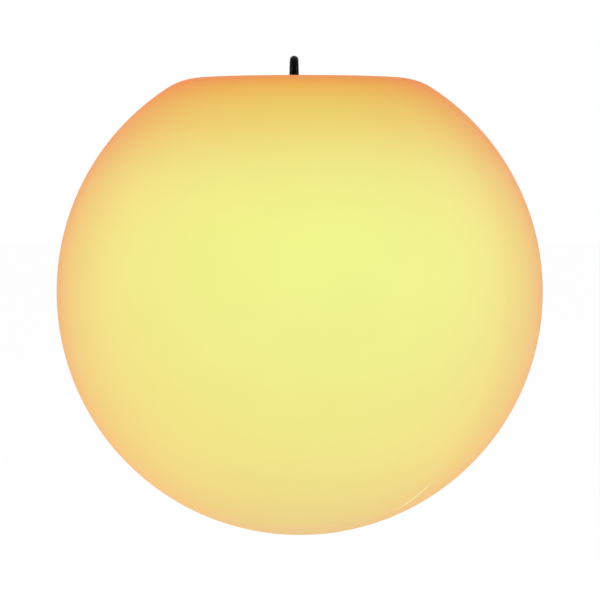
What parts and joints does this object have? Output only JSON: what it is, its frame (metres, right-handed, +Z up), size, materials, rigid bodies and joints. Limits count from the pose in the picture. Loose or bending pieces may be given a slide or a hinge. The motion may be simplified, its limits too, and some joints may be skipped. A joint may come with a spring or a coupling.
{
  "type": "garden globe light",
  "caption": "Hanging garden globe light: translucent ball with a flat top, and a twist-in battery light unit in its well, with a fold-down hanging bail.",
  "frame": {"origin": "hang point: the underside of the bail's crown, where a hook bears", "axes": "+Z up along the hanging line; +Y along the bail's pivot pins; the picture looks along +Y"},
  "size_m": [0.3499, 0.35, 0.3452],
  "materials": {
    "globe_skin": "translucent polyethylene, satin moulded skin, lit from inside in warm yellow",
    "socket_black": "moulded polypropylene, fine texture",
    "housing_black": "moulded ABS, plain",
    "cover_black": "moulded ABS, fine texture",
    "flap_black": "moulded ABS, fine texture",
    "bail_black": "moulded nylon, glossy",
    "button_rubber": "silicone over a hard cap, satin",
    "seal_rubber": "soft silicone",
    "steel": "stainless, turned",
    "brass": "knurled",
    "plated_metal": "nickel plated",
    "bare_aluminium": "pressed, bare",
    "clear_pipe": "clear polycarbonate",
    "frosted_lens": "frosted polycarbonate",
    "board_green": "coated laminate",
    "board_white": "white solder mask on a metal core",
    "component_black": "moulded epoxy",
    "chip_yellow": "phosphor under clear resin",
    "cell_sleeve": "shrink sleeve",
    "lead_red": "insulated lead",
    "foam_grey": "closed-cell foam"
  },
  "bodies": {
    "globe": {"globe_shell": "globe_skin", "well_cup": "globe_skin", "neck_inserts": "brass", "neck_ring": "socket_black", "neck_ring_screws": "steel", "neck_gasket": "seal_rubber"},
    "light_unit": {"unit_barrel": "housing_black", "unit_cover": "cover_black", "cover_seal": "seal_rubber", "cover_screws": "steel", "bail_pivot_pins": "steel", "button_boot": "seal_rubber", "button_switch": "component_black", "port_cover_pin": "steel", "charge_socket": "plated_metal", "indicator_window": "clear_pipe", "control_board": "board_green", "board_components": "component_black", "board_screws": "steel", "battery_cells": "cell_sleeve", "battery_holder": "housing_black", "battery_straps": "plated_metal", "battery_leads": "lead_red", "battery_pad": "foam_grey", "heat_spreader": "bare_aluminium", "led_board": "board_white", "led_chips": "chip_yellow", "led_board_screws": "steel", "led_leads": "lead_red", "lamp_lens": "frosted_lens", "lens_seal": "seal_rubber", "lens_ring": "housing_black"},
    "bail": {"hanging_bail": "bail_black"},
    "button": {"mode_button": "button_rubber"},
    "port_flap": {"port_cover": "flap_black", "port_plug": "seal_rubber"}
  },
  "joints": [
    {"name": "unit_twist", "type": "hinge", "parent": "globe", "child": "light_unit", "pos_m": [0.004, 0, -0.0103], "axis": [0, 0, 1], "range_deg": [0, 60]},
    {"name": "bail_fold", "type": "hinge", "parent": "light_unit", "child": "bail", "pos_m": [0, 0, -0.0145], "axis": [0, 1, 0], "range_deg": [-90, 90]},
    {"name": "button_press", "type": "slide", "parent": "light_unit", "child": "button", "axis": [0, 0, -1], "range_m": [0, 0.001], "stiffness_N_per_m": 350},
    {"name": "port_open", "type": "hinge", "parent": "light_unit", "child": "port_flap", "pos_m": [-0.0309, 0, -0.0171], "axis": [0, -1, 0], "range_deg": [0, 110]}
  ]
}
